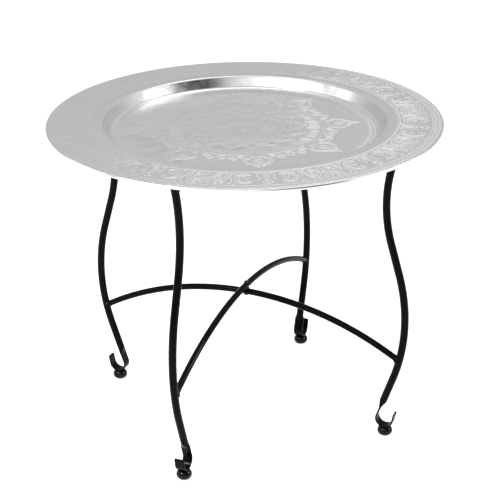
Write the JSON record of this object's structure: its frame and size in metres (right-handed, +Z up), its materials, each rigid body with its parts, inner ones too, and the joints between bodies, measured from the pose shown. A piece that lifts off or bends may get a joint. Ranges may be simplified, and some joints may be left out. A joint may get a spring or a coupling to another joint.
{
  "type": "tray table",
  "caption": "Round table: a chased metal tray with a sunken middle rests on a black folding stand of S-curved tube legs joined by two arched stretchers that cross at a pivot.",
  "frame": {"origin": "on the ground under the centre of the table, on the stand's folding axis", "axes": "+Z up; +X towards the right leg of the lower frame; +Y towards the back leg of the upper frame"},
  "size_m": [0.5999, 0.6, 0.5],
  "materials": {
    "tray_metal": "silver-plated brass sheet, polished, chased and stippled by hand",
    "frame_paint": "black gloss enamel on steel tube",
    "foot_enamel": "black high-gloss enamel",
    "plug_plastic": "black moulded plastic",
    "pivot_steel": "black gloss enamel, worn at the pivot"
  },
  "bodies": {
    "lower_frame": {"left_leg": "frame_paint", "right_leg": "frame_paint", "left_bun_foot": "foot_enamel", "right_bun_foot": "foot_enamel", "left_leg_plug": "plug_plastic", "right_leg_plug": "plug_plastic", "left_foot_weld": "frame_paint", "right_foot_weld": "frame_paint", "lower_stretcher": "frame_paint", "lower_stretcher_welds": "frame_paint", "lower_top_bar": "frame_paint", "lower_top_bar_welds": "frame_paint", "stretcher_rivet": "pivot_steel", "stretcher_washer": "pivot_steel", "top_bar_rivet": "pivot_steel", "top_bar_washer": "pivot_steel"},
    "upper_frame": {"front_leg": "frame_paint", "back_leg": "frame_paint", "front_bun_foot": "foot_enamel", "back_bun_foot": "foot_enamel", "front_leg_plug": "plug_plastic", "back_leg_plug": "plug_plastic", "front_foot_weld": "frame_paint", "back_foot_weld": "frame_paint", "upper_stretcher": "frame_paint", "upper_stretcher_welds": "frame_paint", "upper_top_bar": "frame_paint", "upper_top_bar_welds": "frame_paint"},
    "tray": {"tray": "tray_metal", "rim_wire": "tray_metal"}
  },
  "joints": [
    {"name": "frame_fold", "type": "hinge", "parent": "lower_frame", "child": "upper_frame", "pos_m": [0, 0, 0], "axis": [0, 0, 1], "range_deg": [-84, 84]},
    {"name": "tray_lift", "type": "slide", "parent": "lower_frame", "child": "tray", "axis": [0, 0, 1], "range_m": [0, 0.3]}
  ]
}
